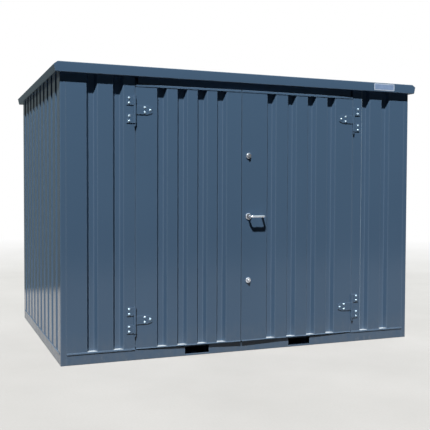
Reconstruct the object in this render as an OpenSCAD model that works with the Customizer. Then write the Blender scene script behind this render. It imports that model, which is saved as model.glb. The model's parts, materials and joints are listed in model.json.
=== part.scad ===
// Steel storage container with a pair of outward-opening doors in its long front wall.
// X runs along the front, +Y from the front to the back, +Z up.
// The origin is the middle of the footprint, on the ground.

/* [Overall] */
// Width of the walls, outside to outside
width = 3050; // [2700:10:3600]
// Depth of the walls, outside to outside
depth = 2170; // [1800:10:2600]
// Height from the ground to the underside of the roof edge
wall_top = 2156; // [2050:1:2400]
// Distance from a corner to the hinge axis at its end of the front
side_panel = 562; // [540:1:700]

/* [Base frame] */
// Height of the base rails
base_h = 78; // [74:1:100]
// Thickness of the base rails
base_t = 3; // [2:0.5:4]
// Depth of the base rails' flanges
base_flange = 60; // [55:1:80]
// Width of the box bearers under the floor
bearer_w = 60; // [40:1:80]
// Wall of the box bearers
bearer_t = 3; // [2:0.5:4]
// Distance from the middle bearer to the outer bearers
bearer_spacing = 800; // [700:10:900]
// Thickness of the floor plate
floor_t = 3; // [2:0.5:5]
// Gap between the floor plate and the wall channels
floor_gap = 4; // [2:1:8]

/* [Fork pockets] */
// Clear width of a fork pocket
fork_w = 200; // [160:5:240]
// Clear height of a fork pocket
fork_h = 62; // [50:1:62]
// Height of a fork pocket's clear floor
fork_z = 10; // [8:1:10]
// Wall of the pocket tubes
fork_t = 3; // [2:0.5:3]
// Distance between the middles of the two pockets
fork_spacing = 910; // [800:10:1100]

/* [Corner posts] */
// Width of the square corner posts
post_w = 43; // [40:1:60]
// Wall of the corner posts
post_t = 2.5; // [2:0.5:4]

/* [Ribbed sheet] */
// Thickness of the wall and roof sheet
sheet_t = 1; // [0.8:0.1:1.5]
// Inner radius of the bends in the sheet
bend_r = 3; // [1:0.5:3]
// Depth of a groove in the sheet
groove_d = 36; // [25:1:38]
// Width of a groove at its mouth
groove_w = 80; // [60:1:90]
// Width of each sloping side of a groove
groove_s = 20; // [12:1:25]
// Distance between grooves in the side walls
side_pitch = 203; // [180:1:230]
// Distance between grooves in the rear wall
rear_pitch = 203; // [180:1:230]
// Distance between ribs in the roof
roof_pitch = 203; // [180:1:230]
// Distance between the two grooves of a front panel
panel_pitch = 199; // [150:1:200]
// Least flat sheet at each end of a wall or the roof
end_flat = 60; // [30:1:80]
// Flat sheet between a front panel's last groove and the doorway
panel_flat = 89; // [85:1:110]

/* [Panel channels] */
// Height of the channels that the wall sheets stand on
channel_h = 12; // [8:1:20]
// How far the channels stand out from the wall
channel_lip = 5; // [2:0.5:8]
// Thickness of the channels
channel_t = 2; // [1.5:0.5:3]
// Depth of the channels behind the wall's face
channel_d = 42; // [40:1:42]
// Leg of the angle rails inside the top of the walls
top_rail_leg = 40; // [30:1:60]
// Thickness of the angle rails
top_rail_t = 3; // [2:0.5:4]

/* [Doorway] */
// Distance of the hinge axes in front of the wall's face
hinge_y = 11; // [11:0.5:16]
// Width of the jamb posts
jamb_w = 75; // [65:1:80]
// Wall of the jambs, lintel and stops
jamb_t = 3; // [2:0.5:4]
// Gap between the doorway's edge and the hinge axis
jamb_gap = 2; // [1:0.5:3]
// How far the stops reach past the doorway's edge
stop_w = 26; // [20:1:40]
// Distance of the stops behind the wall's face
stop_y = 47; // [47:1:50]
// Width of the lips on the jambs, which reach behind the leaves' hinge edges
lip_w = 12; // [8:1:12]
// Distance of the lips behind the wall's face
lip_y = 6.5; // [6.5:0.5:8]
// Height of the lintel's front strip
lintel_h = 47; // [30:1:60]
// Height of the threshold above the floor
sill_h = 25; // [15:1:40]
// Depth of the threshold's foot
sill_foot = 30; // [20:1:50]

/* [Door leaves] */
// Distance from a hinge axis to the edge of its leaf
leaf_edge = 8; // [8:0.5:12]
// Where the two leaves meet, from the middle
meeting_x = -85; // [-150:1:150]
// Gap between the leaves when shut
meeting_gap = 5.4; // [5.4:0.2:12]
// Gap under and over the shut leaves
leaf_gap = 6; // [6:0.5:10]
// Angle that the left leaf stands open
left_ajar = 1.24; // [0:0.01:3]
// Angle that the right leaf stands open
right_ajar = 1.05; // [0:0.01:3]
// Height of the cap over a leaf's sheet
leaf_cap_h = 17; // [12:1:30]
// Thickness of the cap over a leaf's sheet
leaf_cap_t = 3; // [2:0.5:4]
// Height of the rail under a leaf's sheet
leaf_bottom_h = 7; // [6:1:12]
// Thickness of that rail
leaf_rail_t = 2; // [1.5:0.5:3]
// Depth of a leaf behind its face
leaf_d = 41; // [40:1:41]
// Width of the stiles behind a leaf's edges
stile_w = 34; // [25:1:37]
// Wall of the stiles
stile_t = 2; // [1.5:0.5:3]
// How far a leaf's sheet reaches past the stile at its hinge edge
hinge_rim = 14; // [12:1:20]
// How far it reaches past the stile and the rails at its free edge
free_rim = 3; // [3:0.5:5]
// Flat sheet between a leaf's hinge edge and its first groove
leaf_flat = 168; // [150:1:175]
// Flat sheet between the left leaf's last groove and its free edge
left_free_flat = 127.4; // [110:0.2:130]
// Flat sheet between the right leaf's last groove and its free edge
right_free_flat = 225.4; // [200:0.2:240]

/* [Hinges] */
// Distance of the lower hinges' middle from the foot of a leaf
hinge_foot = 224; // [180:1:400]
// Distance of the upper hinges' middle from the top of a leaf
hinge_head = 193; // [180:1:400]
// Radius of the hinge knuckles
knuckle_r = 10; // [9:0.5:11]
// Height of each of the three knuckles
knuckle_h = 67; // [50:1:80]
// Gap between the knuckles
knuckle_gap = 1; // [0.5:0.5:2]
// Radius of the hinge pins
pin_r = 6; // [4:0.5:7]
// Clearance round a pin
pin_clear = 0.05; // [0.02:0.01:0.1]
// Length of a pin below its lowest knuckle
pin_tail = 24; // [10:1:40]
// Thickness of the hinge plates
plate_t = 5; // [4:0.5:6]
// Length of the plates on the frame
frame_plate = 63; // [45:1:70]
// Length of the straps on the leaves
strap = 136; // [100:1:145]
// Length of a strap's tapered end
strap_taper = 34; // [20:1:50]
// Height of a strap's tapered end
strap_end = 40; // [30:1:50]

/* [Handle and locks] */
// Distance of the handle and locks from the right leaf's free edge
lock_x = 57.4; // [55:0.2:75]
// Height of the lever handle
lever_z = 1093; // [900:1:1200]
// Height of the upper lock
lock_high_z = 1580; // [1400:1:1700]
// Height of the lower lock
lock_low_z = 577; // [400:1:700]
// Radius of the lever's round bar
lever_r = 9; // [7:0.5:10]
// Length of the lever from its axis to its end
lever_len = 133; // [110:1:150]
// Distance of the grip from the door's face
lever_out = 56; // [50:1:65]
// Radius of the lever's bends
lever_bend = 18; // [14:1:20]
// Gap between the lever's return and the door
lever_gap = 10; // [6:1:20]
// Radius of the lever's rose
rose_r = 25; // [20:1:30]
// Thickness of the lever's rose
rose_t = 9; // [6:0.5:12]
// Radius of a lock's rose
lock_r = 22; // [18:1:28]
// Thickness of a lock's rose
lock_t = 9; // [6:0.5:12]
// Radius of a lock's cylinder
cylinder_r = 11; // [8:0.5:14]
// How far a lock's cylinder stands out of its rose
cylinder_out = 4; // [2:0.5:8]
// Width of a lock case
case_w = 34; // [24:1:36]
// Height of a lock case
case_h = 160; // [120:5:220]
// Depth of a lock case
case_d = 26; // [18:1:32]

/* [Roof] */
// Height of the roof edge
fascia_h = 77; // [60:1:110]
// Thickness of the roof edge
fascia_t = 2; // [1.5:0.5:3]
// How far the roof edge stands out in front and behind
overhang_front = 37; // [20:1:50]
// How far the roof edge's lower corner stands out at the sides
overhang_side = 36; // [20:1:50]
// How far the side roof edge leans out above that
edge_lean = 12; // [4:1:20]
// Width of the slope on top of the side roof edge
edge_slope_w = 30; // [15:1:40]
// Height of the slope on top of the side roof edge
edge_slope_h = 22; // [10:1:30]
// Width of the cross tubes under the roof sheet
purlin_w = 40; // [30:1:60]
// Height of the cross tubes
purlin_h = 30; // [20:1:34]
// Wall of the cross tubes
purlin_t = 2; // [1.5:0.5:3]
// Distance between the cross tubes
purlin_spacing = 600; // [400:10:650]
// Gap round the roof sheet inside the roof edge
roof_gap = 6; // [2:1:10]

/* [Hidden] */
paint = "#4b6078";
silver = "#c8ccd0";
zinc = "#9a9fa3";
eps = 1;
round_fn = 30;
bend_steps = 2;

hinge_x = width / 2 - side_panel;
channel_top = base_h + channel_h;
floor_top = base_h + floor_t;
doorway_x = hinge_x - jamb_gap;
lintel_z = wall_top - lintel_h;
leaf_bottom = base_h + leaf_gap;
leaf_top = lintel_z - leaf_gap;
leaf_sheet_z = leaf_bottom + leaf_bottom_h;
leaf_edge_x = hinge_x - leaf_edge;
left_free_x = meeting_x - meeting_gap / 2;
right_free_x = meeting_x + meeting_gap / 2;
left_leaf_w = leaf_edge_x + left_free_x;
right_leaf_w = leaf_edge_x - right_free_x;
lock_from_hinge = hinge_x - right_free_x - lock_x;
rim_d = overhang_front + post_w;
hinge_zs = [leaf_bottom + hinge_foot, leaf_top - hinge_head];
groove_corners = [[0, 0], [groove_s, groove_d], [groove_w - groove_s, groove_d], [groove_w, 0]];

// Left edges of n grooves spaced by pitch, centred on zero
function centred_grooves(n, pitch) = [for (i = [0 : n - 1]) (i - (n - 1) / 2) * pitch - groove_w / 2];

// How many grooves fit in a span, with at least end_flat of flat sheet at each end
function groove_count(span, pitch) = 1 + floor((span - groove_w - 2 * end_flat) / pitch);

// Normal of a direction, to its left
function left_of(v) = [-v[1], v[0]];

// Direction from a to b
function heading(a, b) = (b - a) / norm(b - a);

// Angle from direction u to direction v, positive to the left
function turn(u, v) = atan2(u[0] * v[1] - u[1] * v[0], u * v);

// Point p turned about the origin
function spun(p, angle) = [p[0] * cos(angle) - p[1] * sin(angle), p[0] * sin(angle) + p[1] * cos(angle)];

// List p in the other order
function reversed(p) = [for (i = [len(p) - 1 : -1 : 0]) p[i]];

// Corner b between a and c, rounded to radius r
function rounded(a, b, c, r) =
  let (
    u = heading(a, b),
    angle = turn(u, heading(b, c)),
    start = b - r * tan(abs(angle) / 2) * u,
    centre = start + sign(angle) * r * left_of(u)
  )
    r > 0 ? [for (k = [0 : bend_steps]) centre + spun(start - centre, angle * k / bend_steps)] : [b];

// Closed outline p with all its corners rounded to radius r
function rounded_loop(p, r) = [
  for (i = [0 : len(p) - 1], q = rounded(p[(i + len(p) - 1) % len(p)], p[i], p[(i + 1) % len(p)], r)) q
];

// Path p moved by d to its left
function moved(p, d) = [
  for (i = [0 : len(p) - 1])
    let (
      u = heading(p[max(i - 1, 0)], p[max(i, 1)]),
      v = heading(p[min(i, len(p) - 2)], p[min(i + 1, len(p) - 1)])
    )
      p[i] + d * (left_of(u) + left_of(v)) / (1 + u * v)
];

// One side of folded sheet, d to the left of path p, with inner radius r in its bends
function folded_side(p, d, t, r) =
  let (q = moved(p, d), last = len(p) - 1)
    [
      q[0],
      for (i = [1 : last - 1])
        let (to_left = turn(q[i] - q[i - 1], q[i + 1] - q[i]) > 0)
          each rounded(q[i - 1], q[i], q[i + 1], r + (to_left ? t - d : d)),
      q[last]
    ];

// Outline of sheet of thickness t that is folded along path p and lies to its left
function folded(p, t, r) = concat(folded_side(p, 0, t, r), reversed(folded_side(p, t, t, r)));

// Outline of the ribbed sheet, its face along the x axis and its grooves towards +y
function ribbed_outline(x0, x1, grooves) =
  folded([[x0, 0], for (g = grooves, p = groove_corners) [g, 0] + p, [x1, 0]], sheet_t, bend_r);

// Upright ribbed sheet from z0 to z1
module ribbed_sheet(x0, x1, grooves, z0, z1) {
  translate([0, 0, z0]) linear_extrude(z1 - z0) polygon(ribbed_outline(x0, x1, grooves));
}

// Puts children on a wall: x along it, y = 0 at its outer face, +y inwards
module on_wall(turn, half) {
  rotate([0, 0, turn]) translate([0, -half, 0]) children();
}
module on_front() on_wall(0, depth / 2) children();
module on_right() on_wall(90, width / 2) children();
module on_rear() on_wall(180, depth / 2) children();
module on_left() on_wall(-90, width / 2) children();

// Extrudes a section drawn as [y, z] along x from x0 to x1
module along_x(x0, x1) {
  translate([x0, 0, 0]) rotate([90, 0, 90]) linear_extrude(x1 - x0) children();
}

// Box from a low corner to a high corner
module block(lo, hi) {
  translate(lo) cube(hi - lo);
}

// Square tube standing upright
module upright_tube(lo, hi, wall) {
  difference() {
    block(lo, hi);
    block([lo[0] + wall, lo[1] + wall, lo[2] - eps], [hi[0] - wall, hi[1] - wall, hi[2] + eps]);
  }
}

// Section of a base rail: a channel with its web outwards
module rail_section() {
  polygon(folded([[base_flange, base_h], [0, base_h], [0, 0], [base_flange, 0]], base_t, 0));
}

// Long rail in three lengths, with the fork pockets between them
module long_rail() {
  end = width / 2 - post_w;
  inner = (fork_spacing - fork_w) / 2;
  outer = inner + fork_w;
  color(paint) {
    along_x(-end, -outer) rail_section();
    along_x(-inner, inner) rail_section();
    along_x(outer, end) rail_section();
  }
}

module base_front_rail() on_front() long_rail();
module base_rear_rail() on_rear() long_rail();

// Short rail, its flanges cut back at both ends to clear the long rails
module short_rail() {
  end = depth / 2 - post_w;
  cope = base_flange - post_w;
  color(paint) difference() {
    along_x(-end, end) rail_section();
    for (x = [-end, end]) {
      block([x - cope, base_t, -eps], [x + cope, base_flange + eps, base_h + eps]);
    }
  }
}

module base_side_rails() {
  on_left() short_rail();
  on_right() short_rail();
}

// Puts children at both fork pockets, x = 0 in a pocket's middle
module at_forks() {
  for (x = [-fork_spacing / 2, fork_spacing / 2]) translate([x, 0, 0]) children();
}

// Folded strips that carry the long rails' edges under and over the fork pockets
module fork_lip_pair() {
  along_x(-fork_w / 2, fork_w / 2) {
    polygon(folded([[0, fork_z], [0, 0], [base_flange, 0]], base_t, 0));
    polygon(folded([[base_flange, base_h], [0, base_h], [0, fork_z + fork_h]], base_t, 0));
  }
}

module fork_lips() {
  color(paint) {
    on_front() at_forks() fork_lip_pair();
    on_rear() at_forks() fork_lip_pair();
  }
}

// Upright plates at the sides of the fork pockets, from web to web of the long rails
module fork_pocket_sides() {
  half = depth / 2 - base_t;
  color(paint) at_forks() for (x = [-fork_w / 2 - fork_t, fork_w / 2]) {
    block([x, -half, fork_z - fork_t], [x + fork_t, half, fork_z + fork_h + fork_t]);
  }
}

// Plates under and over the fork pockets
module fork_pocket_plates() {
  half = depth / 2 - base_t;
  color(paint) at_forks() for (z = [fork_z - fork_t, fork_z + fork_h]) {
    block([-fork_w / 2, -half, z], [fork_w / 2, half, z + fork_t]);
  }
}

module floor_bearers() {
  half = depth / 2 - base_flange;
  color(zinc) for (x = [-bearer_spacing, 0, bearer_spacing]) {
    difference() {
      block([x - bearer_w / 2, -half, 0], [x + bearer_w / 2, half, base_h]);
      block(
        [x - bearer_w / 2 + bearer_t, -half - eps, bearer_t],
        [x + bearer_w / 2 - bearer_t, half + eps, base_h - bearer_t]
      );
    }
  }
}

module floor_plate() {
  half_x = width / 2 - channel_d - floor_gap;
  half_y = depth / 2 - channel_d - floor_gap;
  color(zinc) block([-half_x, -half_y, base_h], [half_x, half_y, floor_top]);
}

// Square outline from the origin to [w, w], with the corner at the origin rounded to radius r
function post_outline(w, r) = concat(rounded([0, w], [0, 0], [w, 0], r), [[w, 0], [w, w], [0, w]]);

// Square tube at a corner, with its outermost edge rounded
module corner_post(sx, sy) {
  color(paint) translate([sx * width / 2, sy * depth / 2, 0]) scale([-sx, -sy, 1]) difference() {
    linear_extrude(wall_top) polygon(post_outline(post_w, post_t + bend_r));
    translate([post_t, post_t, -eps]) linear_extrude(wall_top + 2 * eps)
      polygon(post_outline(post_w - 2 * post_t, bend_r));
  }
}

module post_front_left() corner_post(-1, -1);
module post_front_right() corner_post(1, -1);
module post_rear_left() corner_post(-1, 1);
module post_rear_right() corner_post(1, 1);

// Channel with its web on top, which carries a wall sheet
module panel_channel(x0, x1) {
  along_x(x0, x1) polygon(folded([
    [channel_d, base_h], [channel_d, channel_top], [-channel_lip, channel_top], [-channel_lip, base_h]
  ], channel_t, bend_r));
}

module wall_channels() {
  half_x = width / 2 - post_w;
  half_y = depth / 2 - post_w;
  color(paint) {
    on_front() panel_channel(-half_x, -doorway_x);
    on_front() panel_channel(doorway_x, half_x);
    on_rear() panel_channel(-half_x, half_x);
    on_left() panel_channel(-half_y, half_y);
    on_right() panel_channel(-half_y, half_y);
  }
}

// Fixed panel between a corner post and the doorway
module front_panel(side) {
  first = doorway_x + panel_flat;
  right = [first, first + panel_pitch];
  left = [-first - panel_pitch - groove_w, -first - groove_w];
  color(paint) on_front() {
    if (side > 0) ribbed_sheet(doorway_x, width / 2 - post_w, right, channel_top, wall_top);
    if (side < 0) ribbed_sheet(post_w - width / 2, -doorway_x, left, channel_top, wall_top);
  }
}

module front_panel_left() front_panel(-1);
module front_panel_right() front_panel(1);

// Ribbed wall between two corner posts
module long_wall(half, pitch) {
  grooves = centred_grooves(groove_count(2 * half, pitch), pitch);
  ribbed_sheet(-half, half, grooves, channel_top, wall_top);
}

module left_wall() {
  color(paint) on_left() long_wall(depth / 2 - post_w, side_pitch);
}

module right_wall() {
  color(paint) on_right() long_wall(depth / 2 - post_w, side_pitch);
}

module rear_wall() {
  color(paint) on_rear() long_wall(width / 2 - post_w, rear_pitch);
}

// Jamb post with a lip behind the edge of the leaf's sheet and the stop that the leaf shuts against
module jamb(side) {
  lip_low = leaf_sheet_z + leaf_gap;
  lip_high = leaf_top - leaf_cap_h - leaf_gap;
  color(paint) on_front() scale([side, 1, 1]) {
    upright_tube([doorway_x, sheet_t, channel_top], [doorway_x + jamb_w, stop_y, wall_top], jamb_t);
    block([doorway_x - lip_w, lip_y, lip_low], [doorway_x + jamb_t, lip_y + jamb_t, lip_high]);
    block([doorway_x - stop_w, stop_y, channel_top], [doorway_x + jamb_w, stop_y + jamb_t, wall_top]);
  }
}

module jamb_left() jamb(-1);
module jamb_right() jamb(1);

// Lintel with a front strip, a soffit and a stop that hangs behind the leaves
module lintel() {
  color(paint) on_front() along_x(-doorway_x + stop_w, doorway_x - stop_w) polygon([
    [0, lintel_z], [stop_y, lintel_z], [stop_y, lintel_z - stop_w], [stop_y + jamb_t, lintel_z - stop_w],
    [stop_y + jamb_t, wall_top], [stop_y, wall_top], [stop_y, lintel_z + jamb_t],
    [jamb_t, lintel_z + jamb_t], [jamb_t, wall_top], [0, wall_top]
  ]);
}

module door_sill() {
  color(zinc) on_front() along_x(-doorway_x + stop_w, doorway_x - stop_w) translate([stop_y, floor_top]) {
    square([jamb_t, sill_h]);
    square([sill_foot, jamb_t]);
  }
}

// Angle rail inside the top of a wall, d behind its face
module top_rail(half_len, d) {
  path = [[d + top_rail_leg, wall_top], [d, wall_top], [d, wall_top - top_rail_leg]];
  color(paint) along_x(-half_len, half_len) polygon(folded(path, top_rail_t, 0));
}

module top_rails() {
  behind_sheet = groove_d + sheet_t;
  behind_stop = stop_y + jamb_t;
  on_front() top_rail(width / 2 - behind_stop - top_rail_leg, behind_stop);
  on_rear() top_rail(width / 2 - behind_stop - top_rail_leg, behind_sheet);
  on_left() top_rail(depth / 2 - post_w, behind_sheet);
  on_right() top_rail(depth / 2 - post_w, behind_sheet);
}

// Outline with corners p, anticlockwise, set in by t all round
function inset(p, t) = [
  for (i = [0 : len(p) - 1])
    let (
      a = heading(p[(i + len(p) - 1) % len(p)], p[i]),
      b = heading(p[i], p[(i + 1) % len(p)])
    )
      p[i] + t * (left_of(a) + left_of(b)) / (1 + a * b)
];

// Outer corners of a side roof edge, from its lower one to its top one, as [outwards, up]
side_edge = [
  [overhang_side, 0],
  [overhang_side + edge_lean, fascia_h - edge_slope_h],
  [overhang_side + edge_lean - edge_slope_w, fascia_h]
];

// Outline of the front and rear roof edge, whose ends match the side roof edge
end_outline = concat(
  [for (p = side_edge) [width / 2 + p[0], p[1]]],
  [for (i = [2 : -1 : 0]) [-width / 2 - side_edge[i][0], side_edge[i][1]]]
);

// Solid that fills the edge tray to t behind its faces, its bends rounded to radius r
module tray_block(t, r) {
  front = t - overhang_front;
  back = rim_d - overhang_front + (t > 0 ? eps : 0);
  intersection() {
    along_x(-width, width) polygon(concat(
      [[back, fascia_h - t]],
      rounded([back, fascia_h - t], [front, fascia_h - t], [front, t], r),
      rounded([front, fascia_h - t], [front, t], [back, t], r),
      [[back, t]]
    ));
    translate([0, back, 0]) rotate([90, 0, 0]) linear_extrude(back - front)
      polygon(rounded_loop(t > 0 ? inset(end_outline, t) : end_outline, r));
  }
}

// Folded tray over the front or rear wall, open towards the middle
module edge_tray() {
  color(paint) translate([0, 0, wall_top]) difference() {
    tray_block(0, bend_r + fascia_t);
    tray_block(fascia_t, bend_r);
  }
}

module fascia_front() on_front() edge_tray();
module fascia_rear() on_rear() edge_tray();

// Folded roof edge over a side wall, between the two trays
module edge_channel() {
  face = [for (p = reversed(side_edge)) [-p[0], p[1]]];
  path = concat([[post_w, fascia_h]], face, [[post_w, 0]]);
  color(paint) along_x(post_w - depth / 2, depth / 2 - post_w) translate([0, wall_top])
    polygon(folded(path, fascia_t, bend_r));
}

module fascia_left() on_left() edge_channel();
module fascia_right() on_right() edge_channel();

module purlins() {
  half = width / 2 - post_w - fascia_t;
  color(zinc) for (y = [-purlin_spacing, 0, purlin_spacing]) {
    translate([0, y, 0]) along_x(-half, half) difference() {
      translate([-purlin_w / 2, wall_top]) square([purlin_w, purlin_h]);
      translate([purlin_t - purlin_w / 2, wall_top + purlin_t])
        square([purlin_w - 2 * purlin_t, purlin_h - 2 * purlin_t]);
    }
  }
}

module roof_sheet() {
  half_x = width / 2 - roof_gap;
  half_y = depth / 2 - roof_gap;
  ribs = centred_grooves(groove_count(2 * half_x, roof_pitch), roof_pitch);
  color(paint) translate([0, half_y, wall_top + purlin_h]) rotate([90, 0, 0])
    linear_extrude(2 * half_y) polygon(ribbed_outline(-half_x, half_x, ribs));
}

// Knuckle round the hinge axis from z0 to z1, with its plate reaching dir * plate_len
module knuckle_plate(z0, z1, outline) {
  difference() {
    union() {
      translate([0, 0, z0]) cylinder(h = z1 - z0, r = knuckle_r, $fn = round_fn);
      translate([0, hinge_y, 0]) rotate([90, 0, 0]) linear_extrude(plate_t) polygon(outline);
    }
    translate([0, 0, z0 - eps]) cylinder(h = z1 - z0 + 2 * eps, r = pin_r + pin_clear, $fn = round_fn);
  }
}

// Puts children on a hinge axis, with side = 1 at the right
module on_hinge(side) {
  on_front() translate([side * hinge_x, -hinge_y, 0]) children();
}

// Swings children by a leaf's resting angle about its hinge axis
module on_leaf(side) {
  on_hinge(side) rotate([0, 0, side * (side > 0 ? right_ajar : left_ajar)]) children();
}

// Two plates, above and below the strap, bolted to the jamb
module frame_plates(side) {
  offset_z = knuckle_h / 2 + knuckle_gap;
  color(paint) on_hinge(side) for (z = hinge_zs) {
    for (low = [z + offset_z, z - offset_z - knuckle_h]) {
      high = low + knuckle_h;
      knuckle_plate(low, high, [[0, low], [side * frame_plate, low], [side * frame_plate, high], [0, high]]);
    }
  }
}

module hinge_plates_left() frame_plates(-1);
module hinge_plates_right() frame_plates(1);

// Strap that tapers towards its end, with the middle knuckle
module straps(side) {
  half = knuckle_h / 2;
  tip = strap_end / 2;
  color(paint) on_leaf(side) for (z = hinge_zs) {
    knuckle_plate(z - half, z + half, [
      [0, z - half], [-side * (strap - strap_taper), z - half], [-side * strap, z - tip],
      [-side * strap, z + tip], [-side * (strap - strap_taper), z + half], [0, z + half]
    ]);
  }
}

module left_hinge_straps() straps(-1);
module right_hinge_straps() straps(1);

// Pins with a flat head on the top knuckle
module pins(side) {
  reach = 1.5 * knuckle_h + knuckle_gap;
  head_h = 3;
  color(paint) on_hinge(side) for (z = hinge_zs) {
    translate([0, 0, z - reach - pin_tail]) cylinder(h = 2 * reach + pin_tail, r = pin_r, $fn = round_fn);
    translate([0, 0, z + reach]) cylinder(h = head_h, r = knuckle_r - 1, $fn = round_fn);
  }
}

module hinge_pins_left() pins(-1);
module hinge_pins_right() pins(1);

// Leaf coordinates: x = 0 at the hinge axis and running to the free edge, y = 0 at the leaf's face
module leaf_space(side) {
  on_leaf(side) translate([0, hinge_y, 0]) scale([-side, 1, 1]) children();
}

// Sheet of one leaf, its four grooves evenly spaced between flats of given widths
module leaf_sheet(side, leaf_w, free_flat) {
  pitch = (leaf_w - leaf_flat - free_flat - groove_w) / 3;
  grooves = [for (i = [0 : 3]) leaf_edge + leaf_flat + i * pitch];
  color(paint) leaf_space(side)
    ribbed_sheet(leaf_edge, leaf_edge + leaf_w, grooves, leaf_sheet_z, leaf_top - leaf_cap_t);
}

// Cap over the top of a leaf's sheet, and channel under its foot
module leaf_rails(side, leaf_w) {
  cap_z = leaf_top - leaf_cap_h;
  color(paint) leaf_space(side) along_x(leaf_edge, leaf_edge + leaf_w - free_rim) {
    polygon(folded([
      [leaf_d, cap_z], [leaf_d, leaf_top], [-leaf_cap_t, leaf_top], [-leaf_cap_t, cap_z]
    ], leaf_cap_t, 0));
    polygon(folded([
      [leaf_d, leaf_bottom], [leaf_d, leaf_sheet_z], [-channel_lip, leaf_sheet_z], [-channel_lip, leaf_bottom]
    ], leaf_rail_t, bend_r));
  }
}

// Upright tubes behind both edges of a leaf's sheet
module leaf_stiles(side, leaf_w) {
  ends = [leaf_edge + hinge_rim, leaf_edge + leaf_w - free_rim - stile_w];
  color(paint) leaf_space(side) for (x = ends) {
    upright_tube(
      [x, sheet_t, leaf_sheet_z],
      [x + stile_w, leaf_d - leaf_cap_t, leaf_top - leaf_cap_t],
      stile_t
    );
  }
}

module left_leaf_sheet() leaf_sheet(-1, left_leaf_w, left_free_flat);
module right_leaf_sheet() leaf_sheet(1, right_leaf_w, right_free_flat);
module left_leaf_rails() leaf_rails(-1, left_leaf_w);
module right_leaf_rails() leaf_rails(1, right_leaf_w);
module left_leaf_stiles() leaf_stiles(-1, left_leaf_w);
module right_leaf_stiles() leaf_stiles(1, right_leaf_w);

// Turns children so that z points out of the right leaf's face, at height z
module on_leaf_face(z) {
  on_leaf(1) translate([-lock_from_hinge, hinge_y, z]) rotate([90, 0, 0]) children();
}

// Round rose with a cylinder and a keyway
module lock(z) {
  rim = 2;
  key_w = 2.4;
  key_h = 12;
  on_leaf_face(z) difference() {
    rotate_extrude($fn = round_fn) polygon([
      [0, 0], [lock_r, 0], [lock_r, lock_t - rim], [lock_r - rim, lock_t],
      [cylinder_r, lock_t], [cylinder_r, lock_t + cylinder_out], [0, lock_t + cylinder_out]
    ]);
    translate([-key_w / 2, -key_h / 2, lock_t]) cube([key_w, key_h, cylinder_out + eps]);
  }
}

module door_locks() {
  color(silver) for (z = [lock_low_z, lock_high_z]) lock(z);
}

// Steel cases on the back of the sheet, behind the locks and the handle
module lock_cases() {
  color(zinc) for (z = [lock_low_z, lever_z, lock_high_z]) {
    on_leaf_face(z) block([-case_w / 2, -case_h / 2, -sheet_t - case_d], [case_w / 2, case_h / 2, -sheet_t]);
  }
}

module lever_rose() {
  rim = 2;
  bore = lever_r + pin_clear;
  color(silver) on_leaf_face(lever_z) rotate_extrude($fn = round_fn) polygon([
    [bore, 0], [rose_r, 0], [rose_r, rose_t - rim], [rose_r - rim, rose_t], [bore, rose_t]
  ]);
}

// Quarter bend of the lever's bar, from straight out of the door to along it
module lever_elbow() {
  translate([lever_bend, 0, 0]) rotate([90, 0, 0]) rotate([0, 0, 90])
    rotate_extrude(angle = 90, $fn = round_fn) translate([lever_bend, 0]) circle(r = lever_r, $fn = round_fn);
}

// Round bar that runs out from the rose, along the door and back towards it
module lever_handle() {
  straight = lever_out - lever_bend;
  reach = lever_len - lever_r;
  color(silver) on_leaf_face(lever_z) {
    cylinder(h = straight, r = lever_r, $fn = round_fn);
    translate([0, 0, straight]) lever_elbow();
    translate([lever_bend, 0, lever_out]) rotate([0, 90, 0])
      cylinder(h = reach - 2 * lever_bend, r = lever_r, $fn = round_fn);
    translate([reach, 0, straight]) mirror([1, 0, 0]) lever_elbow();
    translate([reach, 0, lever_gap]) cylinder(h = straight - lever_gap, r = lever_r, $fn = round_fn);
  }
}

base_front_rail();
base_rear_rail();
base_side_rails();
fork_lips();
fork_pocket_sides();
fork_pocket_plates();
floor_bearers();
floor_plate();
post_front_left();
post_front_right();
post_rear_left();
post_rear_right();
wall_channels();
front_panel_left();
front_panel_right();
left_wall();
right_wall();
rear_wall();
jamb_left();
jamb_right();
lintel();
door_sill();
top_rails();
fascia_front();
fascia_rear();
fascia_left();
fascia_right();
purlins();
roof_sheet();
hinge_plates_left();
hinge_plates_right();
hinge_pins_left();
hinge_pins_right();
left_leaf_sheet();
left_leaf_rails();
left_leaf_stiles();
left_hinge_straps();
right_leaf_sheet();
right_leaf_rails();
right_leaf_stiles();
right_hinge_straps();
door_locks();
lock_cases();
lever_rose();
lever_handle();
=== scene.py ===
"""Looks of the steel storage container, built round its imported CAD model."""

import json
import math

import bmesh
import bpy
from mathutils import Matrix, Vector


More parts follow.
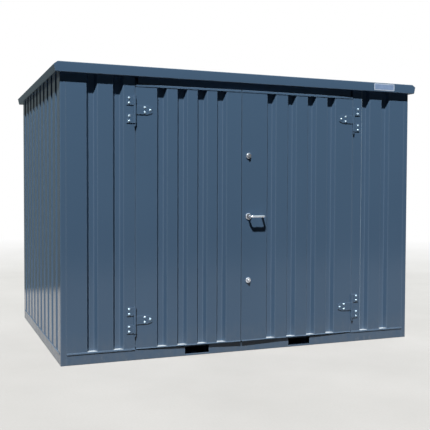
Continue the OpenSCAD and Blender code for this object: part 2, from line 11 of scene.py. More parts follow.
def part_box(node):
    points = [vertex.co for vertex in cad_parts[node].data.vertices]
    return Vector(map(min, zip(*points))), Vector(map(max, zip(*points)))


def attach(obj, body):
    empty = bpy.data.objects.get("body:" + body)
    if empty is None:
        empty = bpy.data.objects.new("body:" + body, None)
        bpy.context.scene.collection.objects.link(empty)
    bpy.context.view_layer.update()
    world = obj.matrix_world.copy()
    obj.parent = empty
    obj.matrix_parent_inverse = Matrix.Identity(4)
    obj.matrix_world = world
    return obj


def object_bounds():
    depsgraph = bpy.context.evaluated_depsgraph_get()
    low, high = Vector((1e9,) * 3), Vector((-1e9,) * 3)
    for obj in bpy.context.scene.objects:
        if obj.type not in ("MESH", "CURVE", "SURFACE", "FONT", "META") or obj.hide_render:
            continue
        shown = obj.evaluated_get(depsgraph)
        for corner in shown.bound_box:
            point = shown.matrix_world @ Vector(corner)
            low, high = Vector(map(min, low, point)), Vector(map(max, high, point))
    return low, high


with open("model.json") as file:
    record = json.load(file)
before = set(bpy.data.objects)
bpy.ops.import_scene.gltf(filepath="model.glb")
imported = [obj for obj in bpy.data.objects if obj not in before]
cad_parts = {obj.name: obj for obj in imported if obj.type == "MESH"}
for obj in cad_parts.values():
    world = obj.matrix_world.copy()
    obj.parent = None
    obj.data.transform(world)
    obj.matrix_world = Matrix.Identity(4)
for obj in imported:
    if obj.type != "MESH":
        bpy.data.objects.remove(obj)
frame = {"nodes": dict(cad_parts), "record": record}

CAD_LOW, CAD_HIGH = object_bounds()
NODES = frame["nodes"]
RECORD = frame["record"]
JOINTS = {j["name"]: j for j in RECORD["behaviour"]["joints"]}

# Sizes that repeat the part's own, in metres: hinges
PLATE_T = 0.005
KNUCKLE_H = 0.067
KNUCKLE_GAP = 0.001
# Ribbed sheets: depth, mouth and slope of a groove, and the roof's flats and pitch
SHEET_T = 0.001
GROOVE_D = 0.036
GROOVE_W = 0.08
GROOVE_S = 0.02
END_FLAT = 0.06
ROOF_PITCH = 0.203
PURLIN_SPACING = 0.6
# Roof edge and locks
FASCIA_H = 0.077
LOCK_R = 0.022
ROSE_T = 0.009


# ---------------------------------------------------------------- materials

class Graph:
    """The node tree of a material or world, with short calls for the nodes used here."""

    def __init__(self, owner):
        self.owner = owner
        owner.use_nodes = True
        self.tree = owner.node_tree
        self.tree.nodes.clear()

    def add(self, kind, inputs=(), **settings):
        n = self.tree.nodes.new(kind)
        for key, value in settings.items():
            setattr(n, key, value)
        for key, value in dict(inputs).items():
            if isinstance(value, bpy.types.NodeSocket):
                self.tree.links.new(value, n.inputs[key])
            else:
                n.inputs[key].default_value = value
        return n

    def coords(self):
        """The object's own coordinates, in metres."""
        return self.add("ShaderNodeTexCoord").outputs["Object"]

    def place(self, scale=(1, 1, 1)):
        """The object's own coordinates, stretched by scale."""
        return self.add("ShaderNodeMapping", {"Vector": self.coords(), "Scale": scale}).outputs["Vector"]

    def noise(self, scale, detail=3.0, stretch=(1, 1, 1), roughness=0.55):
        where = self.place(stretch)
        return self.add(
            "ShaderNodeTexNoise",
            {"Vector": where, "Scale": scale, "Detail": detail, "Roughness": roughness},
        ).outputs["Fac"]

    def spread(self, value, low, high, to_low=0.0, to_high=1.0, eased="LINEAR"):
        """value, from low..high to to_low..to_high, clamped."""
        return self.add(
            "ShaderNodeMapRange",
            {"Value": value, "From Min": low, "From Max": high, "To Min": to_low, "To Max": to_high},
            interpolation_type=eased,
        ).outputs["Result"]

    def dot(self, a, b):
        return self.add("ShaderNodeVectorMath", {0: a, 1: b}, operation="DOT_PRODUCT").outputs["Value"]

    def along(self, vector, axis):
        """One of the vector's X, Y and Z."""
        return self.add("ShaderNodeSeparateXYZ", {"Vector": vector}).outputs[axis]

    def blend(self, factor, first, second):
        """Shader that turns from first to second as factor goes from 0 to 1."""
        return self.add("ShaderNodeMixShader", {0: factor, 1: first, 2: second}).outputs[0]

    def diffuse(self, colour):
        return self.add("ShaderNodeBsdfDiffuse", {"Color": colour}).outputs[0]

    def emission(self, colour, strength):
        return self.add("ShaderNodeEmission", {"Color": colour, "Strength": strength}).outputs[0]

    def background(self, colour, strength):
        return self.add("ShaderNodeBackground", {"Color": colour, "Strength": strength}).outputs[0]

    def ray(self, kind):
        """1 for rays of this kind."""
        return self.add("ShaderNodeLightPath").outputs[kind]

    def maths(self, operation, a, b):
        return self.add("ShaderNodeMath", {0: a, 1: b}, operation=operation).outputs[0]

    def mix(self, factor, a, b):
        n = self.add("ShaderNodeMix", data_type="RGBA")
        for key, value in (("Factor", factor), ("A", a), ("B", b)):
            socket = next(s for s in n.inputs if s.name == key and s.enabled)
            if isinstance(value, bpy.types.NodeSocket):
                self.tree.links.new(value, socket)
            else:
                socket.default_value = value
        return next(s for s in n.outputs if s.enabled)

    def edges(self, radius, flat=0.985, sharp=0.8):
        """1 along sharp edges and 0 on flats, by the cosine that rounding them would turn the surface."""
        rounded = self.add("ShaderNodeBevel", {"Radius": radius}, samples=6).outputs["Normal"]
        true = self.add("ShaderNodeNewGeometry").outputs["Normal"]
        return self.spread(self.dot(rounded, true), flat, sharp)

    def height(self):
        return self.along(self.coords(), "Z")

    def bump(self, value, strength, distance, normal=None):
        inputs = {"Height": value, "Strength": strength, "Distance": distance}
        if normal is not None:
            inputs["Normal"] = normal
        return self.add("ShaderNodeBump", inputs).outputs["Normal"]

    def surface(self, **inputs):
        shader = self.add("ShaderNodeBsdfPrincipled", {k.replace("_", " "): v for k, v in inputs.items()})
        self.add("ShaderNodeOutputMaterial", {"Surface": shader.outputs[0]})
        return self.owner


def material(name):
    return Graph(bpy.data.materials.new(name))


def rgba(r, g, b):
    return (r, g, b, 1.0)


# Heights between which the paint turns lighter towards the roof, a painted highlight for the sky light on
# the upper wall, and up to which the rain has splashed dust
PAINTED_SKYLIGHT_FROM, PAINTED_SKYLIGHT_TO = 0.9, 2.1
DUST_TOP = 0.26


def make_paint():
    g = material("blue_grey_paint")
    tone = g.spread(g.noise(1.3, 2.0, (1.0, 1.0, 0.45)), 0.3, 0.7)
    colour = g.mix(tone, rgba(0.0535, 0.097, 0.161), rgba(0.0595, 0.106, 0.174))
    # Painted sky light: the paint turns lighter towards the roof, standing in for the sky light that falls
    # on the upper wall
    lightened = g.spread(g.height(), PAINTED_SKYLIGHT_FROM, PAINTED_SKYLIGHT_TO)
    colour = g.mix(lightened, colour, rgba(0.064, 0.118, 0.195))
    mottle = g.spread(g.noise(150.0, 2.0), 0.35, 0.65, 0.0, 0.12)
    colour = g.mix(mottle, colour, rgba(0.076, 0.129, 0.207))
    low = g.spread(g.height(), DUST_TOP, 0.0)
    dust = g.maths("MULTIPLY", low, g.spread(g.noise(22.0, 5.0, (1, 1, 0.6)), 0.3, 0.8, 0.04, 0.3))
    colour = g.mix(dust, colour, rgba(0.2, 0.195, 0.18))
    # Paint paler over the bends, a painted highlight for the light that the bends catch, and rubbed thin
    # along the edges
    bends = g.maths("MULTIPLY", g.edges(0.009, 0.998, 0.95), 0.42)
    colour = g.mix(bends, colour, rgba(0.12, 0.18, 0.26))
    rub = g.maths("MULTIPLY", g.edges(0.0035), g.spread(g.noise(24.0, 4.0), 0.35, 0.75, 0.12, 0.62))
    colour = g.mix(rub, colour, rgba(0.16, 0.22, 0.295))
    rough = g.spread(g.noise(6.0, 2.0, (1, 1, 0.4)), 0.3, 0.7, 0.14, 0.19)
    rough = g.maths("ADD", rough, g.maths("MULTIPLY", dust, 0.5))
    wave = g.bump(g.noise(1.0, 1.0, (2.4, 2.4, 0.8)), 0.35, 0.012)
    peel = g.bump(g.noise(420.0, 1.0), 0.12, 0.0004, wave)
    return g.surface(
        Base_Color=colour, Roughness=rough, Normal=peel, Metallic=0.0, Specular_IOR_Level=0.35)


def make_zinc(name, light, dark, spangle, roughness, metallic):
    """Zinc whose crystals, spangle to a metre, differ in tone and roughness."""
    g = material(name)
    cells = g.add(
        "ShaderNodeTexVoronoi", {"Vector": g.place(), "Scale": spangle, "Randomness": 1.0}, feature="F1"
    ).outputs["Color"]
    grey = g.add("ShaderNodeSeparateColor", {"Color": cells}).outputs[0]
    colour = g.mix(g.spread(grey, 0.0, 1.0), dark, light)
    cloud = g.spread(g.noise(7.0, 5.0), 0.35, 0.7, 0.0, 0.4)
    colour = g.mix(cloud, colour, rgba(0.42, 0.43, 0.43))
    wear = g.maths("MULTIPLY", g.edges(0.002), 0.5)
    colour = g.mix(wear, colour, rgba(0.78, 0.79, 0.8))
    rough = g.spread(g.maths("ADD", grey, cloud), 0.0, 1.4, *roughness)
    fine = g.bump(g.noise(260.0, 2.0), 0.15, 0.0004)
    return g.surface(Base_Color=colour, Roughness=rough, Normal=fine, Metallic=metallic)


def make_chrome():
    g = material("satin_chrome")
    tone = g.spread(g.noise(45.0, 4.0), 0.3, 0.7)
    colour = g.mix(tone, rgba(0.76, 0.79, 0.86), rgba(0.86, 0.89, 0.96))
    wear = g.maths("MULTIPLY", g.edges(0.0012), 0.6)
    colour = g.mix(wear, colour, rgba(0.9, 0.92, 0.96))
    rough = g.spread(g.noise(160.0, 3.0, (1, 1, 3)), 0.3, 0.7, 0.17, 0.25)
    fine = g.bump(g.noise(900.0, 2.0), 0.03, 0.0002)
    return g.surface(Base_Color=colour, Roughness=rough, Normal=fine, Metallic=0.85)


def make_plate(name, light, dark):
    g = material(name)
    tone = g.spread(g.noise(30.0, 4.0), 0.3, 0.7)
    colour = g.mix(tone, dark, light)
    wear = g.maths("MULTIPLY", g.edges(0.001), 0.5)
    colour = g.mix(wear, colour, rgba(0.3, 0.34, 0.4))
    rough = g.spread(g.noise(80.0, 3.0), 0.3, 0.7, 0.32, 0.42)
    fine = g.bump(g.noise(500.0, 2.0), 0.08, 0.0002)
    return g.surface(Base_Color=colour, Roughness=rough, Normal=fine, Metallic=0.0)


def make_seal():
    g = material("pale_seal")
    tone = g.spread(g.noise(60.0, 4.0), 0.3, 0.7)
    colour = g.mix(tone, rgba(0.39, 0.45, 0.5), rgba(0.48, 0.54, 0.59))
    wear = g.maths("MULTIPLY", g.edges(0.001), 0.5)
    colour = g.mix(wear, colour, rgba(0.54, 0.59, 0.63))
    fine = g.bump(g.noise(700.0, 3.0), 0.25, 0.0004)
    return g.surface(Base_Color=colour, Roughness=0.6, Normal=fine, Metallic=0.0)


# Painted shade: near-black for the small dark pieces that stand in for shade in gaps and hollows
def make_painted_shade():
    g = material("painted_shade_black")
    tone = g.spread(g.noise(300.0, 3.0), 0.3, 0.7)
    colour = g.mix(tone, rgba(0.012, 0.012, 0.014), rgba(0.03, 0.029, 0.028))
    wear = g.maths("MULTIPLY", g.edges(0.0003), 0.4)
    colour = g.mix(wear, colour, rgba(0.2, 0.19, 0.17))
    fine = g.bump(g.noise(1200.0, 2.0), 0.15, 0.0002)
    return g.surface(Base_Color=colour, Roughness=0.55, Normal=fine, Metallic=0.6)


PAINT = make_paint()
ZINC = make_zinc(
    "galvanised_steel", light=rgba(0.62, 0.64, 0.66), dark=rgba(0.46, 0.48, 0.5), spangle=95.0,
    roughness=(0.34, 0.52), metallic=0.55)
PLATED = make_zinc(
    "zinc_plated", light=rgba(0.6, 0.83, 1.0), dark=rgba(0.55, 0.76, 0.93), spangle=400.0,
    roughness=(0.34, 0.44), metallic=0.35)
CHROME = make_chrome()
PLATE = make_plate("pale_plate", rgba(0.55, 0.64, 0.76), rgba(0.48, 0.565, 0.68))
FIELD = make_plate("blue_plate_field", rgba(0.25, 0.355, 0.55), rgba(0.2, 0.29, 0.47))
SEAL = make_seal()
PAINTED_SHADE = make_painted_shade()
SLOT_MATERIAL = {"paint": PAINT, "galvanised": ZINC, "chrome": CHROME}


# ---------------------------------------------------------------- CAD nodes

# Radius that a node's edges are broken to
THICK_EDGE = 0.0018
PLATE_EDGE = 0.0011
THIN_EDGE = 0.0004
EDGE_OF_NODE = {
    "floor_plate": PLATE_EDGE, "lever_handle": 0.0, "lever_rose": PLATE_EDGE, "door_locks": PLATE_EDGE,
    "hinge_pins_left": PLATE_EDGE, "hinge_pins_right": PLATE_EDGE,
    "hinge_plates_left": PLATE_EDGE, "hinge_plates_right": PLATE_EDGE,
    "left_hinge_straps": PLATE_EDGE, "right_hinge_straps": PLATE_EDGE,
    "lock_cases": THICK_EDGE, "lintel": PLATE_EDGE, "jamb_left": PLATE_EDGE, "jamb_right": PLATE_EDGE,
    "post_front_left": THICK_EDGE, "post_front_right": THICK_EDGE,
    "post_rear_left": THICK_EDGE, "post_rear_right": THICK_EDGE,
    "base_front_rail": THICK_EDGE, "base_rear_rail": THICK_EDGE, "base_side_rails": THICK_EDGE,
}
SHEETS = ("left_wall", "right_wall", "rear_wall", "front_panel_left", "front_panel_right",
          "left_leaf_sheet", "right_leaf_sheet", "roof_sheet")


def break_edges(obj, radius):
    """Merges the node's coplanar triangles and rounds its sharp edges, as modifiers."""
    weld = obj.modifiers.new("weld", "WELD")
    weld.merge_threshold = 0.00001
    flat = obj.modifiers.new("flat", "DECIMATE")
    flat.decimate_type = "DISSOLVE"
    flat.angle_limit = math.radians(0.5)
    bevel = obj.modifiers.new("bevel", "BEVEL")
    bevel.width = radius
    bevel.segments = 2
    bevel.limit_method = "ANGLE"
    bevel.angle_limit = math.radians(32)
    bevel.harden_normals = False
    normals = obj.modifiers.new("normals", "WEIGHTED_NORMAL")
    normals.keep_sharp = False


def smooth_bends(obj):
    """Shades a folded sheet smoothly over its bends and keeps its cut edges sharp, as modifiers."""
    weld = obj.modifiers.new("weld", "WELD")
    weld.merge_threshold = 0.00001
    split = obj.modifiers.new("split", "EDGE_SPLIT")
    split.split_angle = math.radians(50)
    split.use_edge_sharp = False
    normals = obj.modifiers.new("normals", "WEIGHTED_NORMAL")
    normals.keep_sharp = False


for row in RECORD["subparts"]:
    node = NODES[row["node"]]
    for slot in node.material_slots:
        slot.material = SLOT_MATERIAL[row["material_slot"]]
    radius = EDGE_OF_NODE.get(row["node"], THIN_EDGE)
    if row["node"] in SHEETS:
        smooth_bends(node)
    elif radius > 0:
        break_edges(node, radius)


# ---------------------------------------------------------------- small pieces

def absorb(whole, part):
    """Adds one bmesh to another and frees it."""
    step = bpy.data.meshes.new("step")
    part.to_mesh(step)
    whole.from_mesh(step)
    bpy.data.meshes.remove(step)
    part.free()


def make_piece(name, meshes, material, body):
    """One piece of several (bmesh, matrix) parts, which rides on body."""
    data = bpy.data.meshes.new(name)
    whole = bmesh.new()
    for part, matrix in meshes:
        copy = part.copy()
        bmesh.ops.transform(copy, matrix=matrix, verts=copy.verts)
        if matrix.determinant() < 0:
            bmesh.ops.reverse_faces(copy, faces=copy.faces)
        absorb(whole, copy)
    whole.to_mesh(data)
    whole.free()
    for polygon in data.polygons:
        polygon.use_smooth = True
    obj = bpy.data.objects.new(name, data)
    bpy.context.scene.collection.objects.link(obj)
    data.materials.append(material)
    data.set_sharp_from_angle(angle=math.radians(38))
    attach(obj, body)
    return obj


def turned(profile, sides):
    """Solid of revolution about z from [radius, height] points, from axis to axis or round to the first."""
    b = bmesh.new()
    rings = []
    for radius, height in profile:
        if radius == 0:
            rings.append([b.verts.new((0, 0, height))])
        else:
            angles = [2 * math.pi * i / sides for i in range(sides)]
            points = [(radius * math.cos(a), radius * math.sin(a), height) for a in angles]
            rings.append([b.verts.new(point) for point in points])
    for below, above in zip(rings, rings[1:]):
        for i in range(sides):
            j = (i + 1) % sides
            foot = [below[i % len(below)], below[j % len(below)]]
            head = [above[j % len(above)], above[i % len(above)]]
            b.faces.new(list(dict.fromkeys(foot + head)))
    bmesh.ops.remove_doubles(b, verts=b.verts, dist=0.000001)
    bmesh.ops.recalc_face_normals(b, faces=b.faces)
    return b


def prism(outline, height):
    """Prism over an outline of (x, y) points that run anticlockwise, standing on z = 0."""
    b = bmesh.new()
    lower = [b.verts.new((x, y, 0)) for x, y in outline]
    upper = [b.verts.new((x, y, height)) for x, y in outline]
    b.faces.new(upper)
    b.faces.new(lower[::-1])
    for i in range(len(outline)):
        j = (i + 1) % len(outline)
        b.faces.new([lower[i], lower[j], upper[j], upper[i]])
    return b


def rounded_plate(width, height, thick, corner, steps=5):
    """Plate with rounded corners, centred over z = 0's origin and standing on it."""
    outline = []
    for quarter in range(4):
        cx = (1, -1, -1, 1)[quarter] * (width / 2 - corner)
        cy = (1, 1, -1, -1)[quarter] * (height / 2 - corner)
        for k in range(steps + 1):
            a = math.pi / 2 * (quarter + k / steps)
            outline.append((cx + corner * math.cos(a), cy + corner * math.sin(a)))
    return prism(outline, thick)


def domed_bolt(radius, height, washer_r, washer_t):
    """Domed head on a round washer, standing on z = 0."""
    dome = [
        (radius * math.cos(math.radians(a)), washer_t + height * math.sin(math.radians(a)))
        for a in range(0, 90, 15)
    ]
    edge = washer_t * 0.35
    washer = [(0, 0), (washer_r, 0), (washer_r, washer_t - edge), (washer_r - edge, washer_t)]
    return turned(washer + [(radius, washer_t)] + dome[1:] + [(0, washer_t + height)], 24)


def hex_bolt(across, height, washer_r, washer_t):
    """Hexagonal head on a round washer, standing on z = 0."""
    rim = [(washer_r, 0), (washer_r, washer_t * 0.7), (washer_r * 0.93, washer_t)]
    washer = turned([(0, 0)] + rim + [(0, washer_t)], 24)
    corner = across / 2 / math.cos(math.pi / 6)
    head = turned(
        [(0, washer_t), (corner, washer_t), (corner, washer_t + height * 0.82),
         (across / 2 * 0.94, washer_t + height), (0, washer_t + height)], 6)
    absorb(washer, head)
    return washer


WALL_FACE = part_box("post_front_left")[0].y
OUT_OF_FRONT = Matrix.Rotation(math.radians(90), 4, "X")


class Hinge:
    """One side's hinge axis. side is 1 at the right and -1 at the left."""

    def __init__(self, joint, side, straps):
        j = JOINTS[joint]
        self.side = side
        self.origin = Vector((j["pos_m"][0], j["pos_m"][1], 0))
        self.ajar = Matrix.Rotation(math.radians(-j["range_deg"][0]) * side, 4, "Z")
        self.face = WALL_FACE - j["pos_m"][1]
        low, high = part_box(straps)
        self.middles = (low.z + KNUCKLE_H / 2, high.z - KNUCKLE_H / 2)

    def on_frame(self, along, out, z):
        """Matrix whose z points out of the front wall, along from the axis away from the leaf."""
        place = Matrix.Translation(Vector((self.side * along, self.face - out, z)))
        return Matrix.Translation(self.origin) @ place @ OUT_OF_FRONT

    def on_leaf(self, along, out, z):
        """Matrix whose z points out of the leaf's face, along from the axis over the leaf."""
        place = Matrix.Translation(Vector((-self.side * along, self.face - out, z)))
        return Matrix.Translation(self.origin) @ self.ajar @ place @ OUT_OF_FRONT


HINGES = {
    "left": Hinge("left_door", -1, "left_hinge_straps"),
    "right": Hinge("right_door", 1, "right_hinge_straps"),
}

# Bolts of the hinges, from the axis and from a hinge's middle
FRAME_BOLT_X = 0.045
STRAP_BOLT_X = 0.078
STRAP_TIP_BOLT_X = 0.121
BOLT_Z = 0.019
plate_bolt = domed_bolt(radius=0.0074, height=0.0042, washer_r=0.009, washer_t=0.0012)
nut = hex_bolt(across=0.013, height=0.0068, washer_r=0.0105, washer_t=0.0016)
plate_middle = KNUCKLE_H + KNUCKLE_GAP
frame_bolts = []
for name, hinge in HINGES.items():
    strap_bolts, strap_nuts = [], []
    for middle in hinge.middles:
        for plate in (-plate_middle, plate_middle):
            for dz in (-BOLT_Z, BOLT_Z):
                frame_bolts.append((plate_bolt, hinge.on_frame(FRAME_BOLT_X, PLATE_T, middle + plate + dz)))
        for along, dz in ((STRAP_BOLT_X, -BOLT_Z), (STRAP_BOLT_X, BOLT_Z), (STRAP_TIP_BOLT_X, 0.0)):
            strap_bolts.append((plate_bolt, hinge.on_leaf(along, PLATE_T, middle + dz)))
            behind = hinge.on_leaf(along, -SHEET_T, middle + dz) @ Matrix.Rotation(math.pi, 4, "X")
            strap_nuts.append((nut, behind))
    make_piece(f"strap_bolts_{name}", strap_bolts, PLATED, f"{name}_leaf")
    make_piece(f"strap_nuts_{name}", strap_nuts, PLATED, f"{name}_leaf")
make_piece("frame_plate_bolts", frame_bolts, PLATED, "shell")

# Key plugs that stand out of the locks, each with a dark ring at its foot and a dark key slot, painted
# shade for the gap round the plug and for the slot's hollow
PLUG_R, PLUG_OUT, PLUG_EDGE = 0.0088, 0.021, 0.0007
RING_R, RING_OUT = 0.0105, 0.0136
SLOT_W, SLOT_H, SLOT_OUT = 0.0024, 0.0098, 0.0003
leaf = HINGES["right"]
lever_at = leaf.ajar.inverted() @ (Vector(JOINTS["lever_turn"]["pos_m"]) - leaf.origin)
locks_low, locks_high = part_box("door_locks")
plug_head = [(PLUG_R, PLUG_OUT - PLUG_EDGE), (PLUG_R - PLUG_EDGE, PLUG_OUT), (0, PLUG_OUT)]
plug = turned([(0, ROSE_T), (PLUG_R, ROSE_T)] + plug_head, 32)
ring = turned([(0, ROSE_T), (RING_R, ROSE_T), (RING_R, RING_OUT), (0, RING_OUT)], 32)
key_slot = rounded_plate(SLOT_W, SLOT_H, 2 * SLOT_OUT, corner=0.46 * SLOT_W)
plugs, shade_parts = [], []
for z in (locks_low.z + LOCK_R, locks_high.z - LOCK_R):
    on_lock = leaf.on_leaf(-lever_at.x, 0, z)
    plugs.append((plug, on_lock))
    shade_parts.append((ring, on_lock))
    shade_parts.append((key_slot, on_lock @ Matrix.Translation((0, 0, PLUG_OUT - SLOT_OUT))))

# Painted shade at the lever's foot: a dark ring between the lever and its rose
LEVER_SHADE_IN, LEVER_SHADE_OUT, LEVER_SHADE_T = 0.0097, 0.0138, 0.0009
lever_shade_foot = [(LEVER_SHADE_IN, ROSE_T), (LEVER_SHADE_OUT, ROSE_T)]
lever_shade_head = [(LEVER_SHADE_OUT - LEVER_SHADE_T / 2, ROSE_T + LEVER_SHADE_T), (LEVER_SHADE_IN, ROSE_T + LEVER_SHADE_T)]
lever_shade_ring = turned(lever_shade_foot + lever_shade_head + lever_shade_foot[:1], 40)
shade_parts.append((lever_shade_ring, leaf.on_leaf(-lever_at.x, 0, lever_at.z)))
make_piece("key_plugs", plugs, CHROME, "right_leaf")
make_piece("lock_shade_rings", shade_parts, PAINTED_SHADE, "right_leaf")

# Pale seals at the foot of the grooves, on the channels that the sheets stand on
SEAL_T = 0.002
SEAL_GAP = 0.001


def groove_seal():
    """Thin seal that fills a groove's section: x along the wall, y inwards from its face."""
    half_mouth = GROOVE_W / 2 - SEAL_GAP
    half_back = GROOVE_W / 2 - GROOVE_S - SEAL_GAP
    back = GROOVE_D - SEAL_GAP
    outline = ((-half_mouth, SEAL_GAP), (half_mouth, SEAL_GAP), (half_back, back), (-half_back, back))
    return prism(outline, SEAL_T)


def groove_middles(points):
    """Middles of the grooves among points that are [along, inwards] from a sheet's face."""
    spots = sorted(x for x, y in points if y > GROOVE_D - 2 * SHEET_T)
    runs = [[spots[0]]]
    for x in spots[1:]:
        if x - runs[-1][-1] > GROOVE_W / 2:
            runs.append([])
        runs[-1].append(x)
    return [(run[0] + run[-1]) / 2 for run in runs]


def measured(sheet, to_world):
    """Foot, head and groove middles of a sheet, in the coordinates that to_world takes to the scene's."""
    node = NODES[sheet]
    to_wall = to_world.inverted() @ node.matrix_world
    corners = [to_wall @ vertex.co for vertex in node.data.vertices]
    heights = [c.z for c in corners]
    return min(heights), max(heights), groove_middles([(c.x, c.y) for c in corners])


def seals_of(sheet, to_world):
    """Seals at the foot of one sheet's grooves."""
    foot, _, middles = measured(sheet, to_world)
    return [(seal, to_world @ Matrix.Translation((x, 0, foot))) for x in middles]


seal = groove_seal()
front = Matrix.Translation((0, WALL_FACE, 0))
shell_seals = seals_of("front_panel_left", front) + seals_of("front_panel_right", front)
make_piece("groove_seals", shell_seals, SEAL, "shell")
for name, hinge in HINGES.items():
    face = Matrix.Translation(hinge.origin) @ hinge.ajar @ Matrix.Translation((0, hinge.face, 0))
    make_piece(f"groove_seals_{name}", seals_of(f"{name}_leaf_sheet", face), SEAL, f"{name}_leaf")

# Lap of the right panel over the door frame, with its sheet's bare cut edge towards the doorway
LAP_OUT, LAP_W, LAP_EDGE_T = 0.0014, 0.0026, 0.0006
LAP_FROM_GROOVE = 0.0029
foot, head, middles = measured("front_panel_right", front)
lap_at = min(middles) - GROOVE_W / 2 - LAP_FROM_GROOVE
lap_place = front @ Matrix.Translation((lap_at, 0, foot))
lap_edge = ((0, -LAP_OUT), (LAP_EDGE_T, -LAP_OUT), (LAP_EDGE_T, 0), (0, 0))
lap_wedge = ((LAP_EDGE_T, -LAP_OUT), (LAP_W, 0), (LAP_EDGE_T, 0))
make_piece("panel_lap", [(prism(lap_wedge, head - foot), lap_place)], PAINT, "shell")
make_piece("panel_lap_edge", [(prism(lap_edge, head - foot), lap_place)], PLATED, "shell")

# Screws of the roof sheet, in its flats over the cross tubes
roof_low, roof_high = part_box("roof_sheet")
roof_screw = hex_bolt(across=0.008, height=0.0045, washer_r=0.0085, washer_t=0.0022)
roof_span = roof_high.x - roof_low.x
flat_count = math.floor((roof_span - GROOVE_W - 2 * END_FLAT) / ROOF_PITCH + 1e-6)
screws = []
for i in range(flat_count):
    x = (i - (flat_count - 1) / 2) * ROOF_PITCH
    for y in (-PURLIN_SPACING, 0.0, PURLIN_SPACING):
        screws.append((roof_screw, Matrix.Translation((x, y, roof_low.z + SHEET_T))))
make_piece("roof_screws", screws, PLATED, "shell")


# ---------------------------------------------------------------- blank plate

PLATE_X, PLATE_Z = 1.25, 0.53 * FASCIA_H
PLATE_W, PLATE_H, PLATE_THICK, PLATE_RIM = 0.205, 0.058, 0.0009, 0.007
PLATE_GAP, FIELD_OUT = 0.0001, 0.0003
fascia_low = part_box("fascia_front")[0]
plate_at = Matrix.Translation((PLATE_X, fascia_low.y - PLATE_GAP, fascia_low.z + PLATE_Z)) @ OUT_OF_FRONT
plate = rounded_plate(PLATE_W, PLATE_H, PLATE_THICK, corner=0.006)
field = rounded_plate(
    PLATE_W - 2 * PLATE_RIM, PLATE_H - 2 * PLATE_RIM, PLATE_THICK + FIELD_OUT, corner=0.003)
make_piece("blank_plate", [(plate, plate_at)], PLATE, "shell")
make_piece("blank_plate_field", [(field, plate_at)], FIELD, "shell")


# ---------------------------------------------------------------- floor, light and camera

WHITE = rgba(1, 1, 1)
# Distances from the middle between which the floor fades into the background
FADE_FROM, FADE_TO = 4.5, 13.0
FLOOR_HALF = 60.0
FLOOR_GAP = 0.0005
# The floor in the light that it throws back at the object
FLOOR_IN_LIGHT = rgba(0.0328, 0.0376, 0.044)
# Reflections see a pale yard: its middle ahead of the object, its reach aside and ahead, its soft edge
YARD = rgba(0.395, 0.393, 0.387)
YARD_MIDDLE_Y = -2.05
YARD_REACH_X, YARD_REACH_Y = 7.1, 5.05
YARD_FADE = 0.6
# What reflections see beyond the yard and low above it, ahead of the object and behind it
MIRRORED_AHEAD, MIRRORED_BEHIND = 0.035, 0.2
MIRRORED_TINT = rgba(0.8, 0.98, 1.0)
# Direction in which the world is lighter, and its cosines between which it turns so
BEHIND = (0.5, 0.87, 0.0)
BEHIND_FROM, BEHIND_TO = -0.1, 0.8
# Soft light of the world: little from ahead, so that the front keeps its contrast, and more from behind
FILL = rgba(0.78, 0.89, 1.0)
FILL_AHEAD, FILL_BEHIND = 0.02, 0.5
# Slope upwards over which reflections turn from the surroundings to the white background
GLOSS_FROM, GLOSS_TO = 0.25, 0.65


def from_behind(g, direction, ahead, behind):
    """Turns from one value ahead of the object to another behind it."""
    return g.spread(g.dot(direction, BEHIND), BEHIND_FROM, BEHIND_TO, ahead, behind, "SMOOTHSTEP")


def outside_yard(g, coords):
    """How far a point of the floor lies outside the yard, below 0 inside it."""
    aside = g.maths("ABSOLUTE", g.along(coords, "X"), 0.0)
    ahead = g.maths("ABSOLUTE", g.maths("SUBTRACT", g.along(coords, "Y"), YARD_MIDDLE_Y), 0.0)
    return g.maths(
        "MAXIMUM", g.maths("SUBTRACT", aside, YARD_REACH_X), g.maths("SUBTRACT", ahead, YARD_REACH_Y))


def make_floor():
    g = material("pale_floor")
    tone = g.spread(g.noise(0.9, 6.0), 0.3, 0.7)
    colour = g.mix(tone, rgba(0.4, 0.395, 0.385), rgba(0.45, 0.445, 0.435))
    speck = g.spread(g.noise(70.0, 3.0), 0.35, 0.7, 0.0, 0.25)
    colour = g.mix(speck, colour, rgba(0.35, 0.345, 0.34))
    grain = g.bump(g.noise(140.0, 4.0), 0.2, 0.002)
    lit = g.add(
        "ShaderNodeBsdfPrincipled", {"Base Color": colour, "Roughness": 0.8, "Normal": grain}).outputs[0]
    lit = g.blend(g.ray("Is Diffuse Ray"), lit, g.diffuse(FLOOR_IN_LIGHT))
    # Reflections see the yard, and what stands round it
    coords = g.coords()
    outward = g.add("ShaderNodeVectorMath", {0: coords}, operation="NORMALIZE").outputs["Vector"]
    around = g.emission(MIRRORED_TINT, from_behind(g, outward, MIRRORED_AHEAD, MIRRORED_BEHIND))
    beyond = g.spread(outside_yard(g, coords), -YARD_FADE / 2, YARD_FADE / 2)
    lit = g.blend(g.ray("Is Glossy Ray"), lit, g.blend(beyond, g.diffuse(YARD), around))
    # The floor fades into the white background far from the object
    away = g.add("ShaderNodeVectorMath", {0: coords}, operation="LENGTH").outputs["Value"]
    lightened = g.blend(g.spread(away, FADE_FROM, FADE_TO), lit, g.emission(WHITE, 1.0))
    seen = g.blend(g.ray("Is Camera Ray"), lit, lightened)
    g.add("ShaderNodeOutputMaterial", {"Surface": seen})
    return g.owner


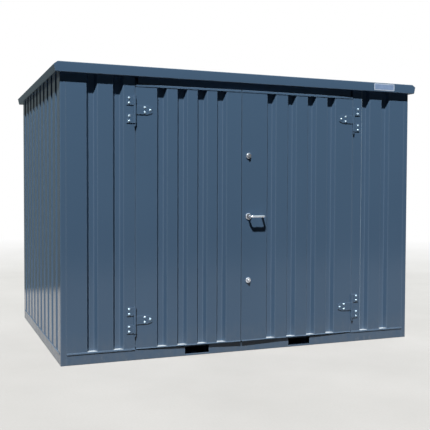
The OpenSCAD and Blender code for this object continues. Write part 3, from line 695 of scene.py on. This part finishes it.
def make_world():
    g = Graph(bpy.data.worlds.new("studio"))
    direction = g.add("ShaderNodeTexCoord").outputs["Generated"]
    above = g.spread(g.along(direction, "Z"), GLOSS_FROM, GLOSS_TO, eased="SMOOTHSTEP")
    around = from_behind(g, direction, MIRRORED_AHEAD, MIRRORED_BEHIND)
    fill = g.background(FILL, from_behind(g, direction, FILL_AHEAD, FILL_BEHIND))
    gloss = g.background(MIRRORED_TINT, g.maths("MAXIMUM", above, around))
    mirrored = g.maths("MAXIMUM", g.ray("Is Glossy Ray"), g.ray("Is Transmission Ray"))
    seen = g.blend(g.ray("Is Camera Ray"), g.blend(mirrored, fill, gloss), g.background(WHITE, 1.0))
    g.add("ShaderNodeOutputWorld", {"Surface": seen})
    return g.owner


floor_mesh = bpy.data.meshes.new("floor")
corners = [(x * FLOOR_HALF, y * FLOOR_HALF, 0) for x, y in ((-1, -1), (1, -1), (1, 1), (-1, 1))]
floor_mesh.from_pydata(corners, [], [(0, 1, 2, 3)])
floor_mesh.materials.append(make_floor())
floor = bpy.data.objects.new("floor", floor_mesh)
floor.location.z = CAD_LOW.z - FLOOR_GAP
bpy.context.scene.collection.objects.link(floor)

bpy.context.scene.world = make_world()

TOWARDS_KEY = Vector((-0.58, -1.0, 1.9))
KEY_STRENGTH = 6.3
KEY_ANGLE = math.radians(1.6)
key = bpy.data.lights.new("key", "SUN")
key.energy = KEY_STRENGTH
key.angle = KEY_ANGLE
key.color = (1.0, 0.985, 0.965)
key_object = bpy.data.objects.new("key", key)
key_object.rotation_mode = "QUATERNION"
key_object.rotation_quaternion = TOWARDS_KEY.to_track_quat("Z", "Y")
bpy.context.scene.collection.objects.link(key_object)

# The camera stands before the left half of the front, a little under eye height
CAMERA_AT = Vector((-2.4145, -6.3906, 1.31))
YAW, PITCH, ROLL = 0.3783, -0.0357, 0.0036
FOCAL_PER_WIDTH = 1.67267442
forward = Vector((math.sin(YAW) * math.cos(PITCH), math.cos(YAW) * math.cos(PITCH), math.sin(PITCH)))
level = Vector((math.cos(YAW), -math.sin(YAW), 0))
upward = level.cross(forward)
right = level * math.cos(ROLL) + upward * math.sin(ROLL)
up = upward * math.cos(ROLL) - level * math.sin(ROLL)
camera = bpy.data.cameras.new("camera")
camera.sensor_width = 36.0
camera.lens = camera.sensor_width * FOCAL_PER_WIDTH
camera.clip_end = 300.0
camera_object = bpy.data.objects.new("camera", camera)
aim = Matrix((right, up, -forward)).transposed().to_4x4()
camera_object.matrix_world = Matrix.Translation(CAMERA_AT) @ aim
bpy.context.scene.collection.objects.link(camera_object)
bpy.context.scene.camera = camera_object
bpy.context.scene.view_settings.view_transform = "Standard"
